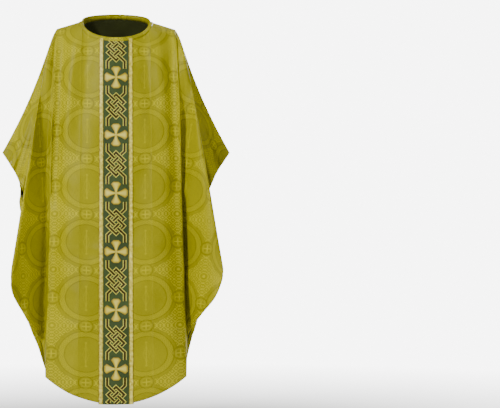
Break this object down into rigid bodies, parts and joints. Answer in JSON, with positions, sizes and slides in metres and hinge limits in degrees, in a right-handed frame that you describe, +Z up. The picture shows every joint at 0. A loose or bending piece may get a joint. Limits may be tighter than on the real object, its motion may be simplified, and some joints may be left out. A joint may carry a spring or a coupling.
{
  "type": "chasuble",
  "caption": "Gothic chasuble in olive-gold damask, hanging in folds as when worn, with a woven cross-and-knot orphrey and gold braids down the front and the back.",
  "frame": {"origin": "middle of the neck opening, level with the two neck corners", "axes": "+Z up, -Y is the way the front faces, +X is the wearer's left"},
  "size_m": [0.803, 0.4427, 1.3681],
  "materials": {
    "brocade": "silky damask",
    "lining": "matte satin",
    "orphrey_band": "woven jacquard",
    "gold_braid": "metallic thread braid",
    "binding": "silky damask",
    "interlining": "stiff canvas",
    "seam_tape": "twill",
    "thread": "sewing thread"
  },
  "bodies": {
    "root": {"front_panel": "brocade", "back_panel": "brocade", "front_lining": "lining", "back_lining": "lining", "front_orphrey": "orphrey_band", "back_orphrey": "orphrey_band", "front_orphrey_interlining": "interlining", "back_orphrey_interlining": "interlining", "front_braid_left": "gold_braid", "front_braid_right": "gold_braid", "back_braid_left": "gold_braid", "back_braid_right": "gold_braid", "neck_binding": "binding", "neck_facing": "binding", "left_shoulder_seam_tape": "seam_tape", "right_shoulder_seam_tape": "seam_tape", "front_hem_facing": "brocade", "back_hem_facing": "brocade", "front_hem_thread": "thread", "back_hem_thread": "thread", "front_braid_thread": "thread", "back_braid_thread": "thread"}
  },
  "joints": []
}
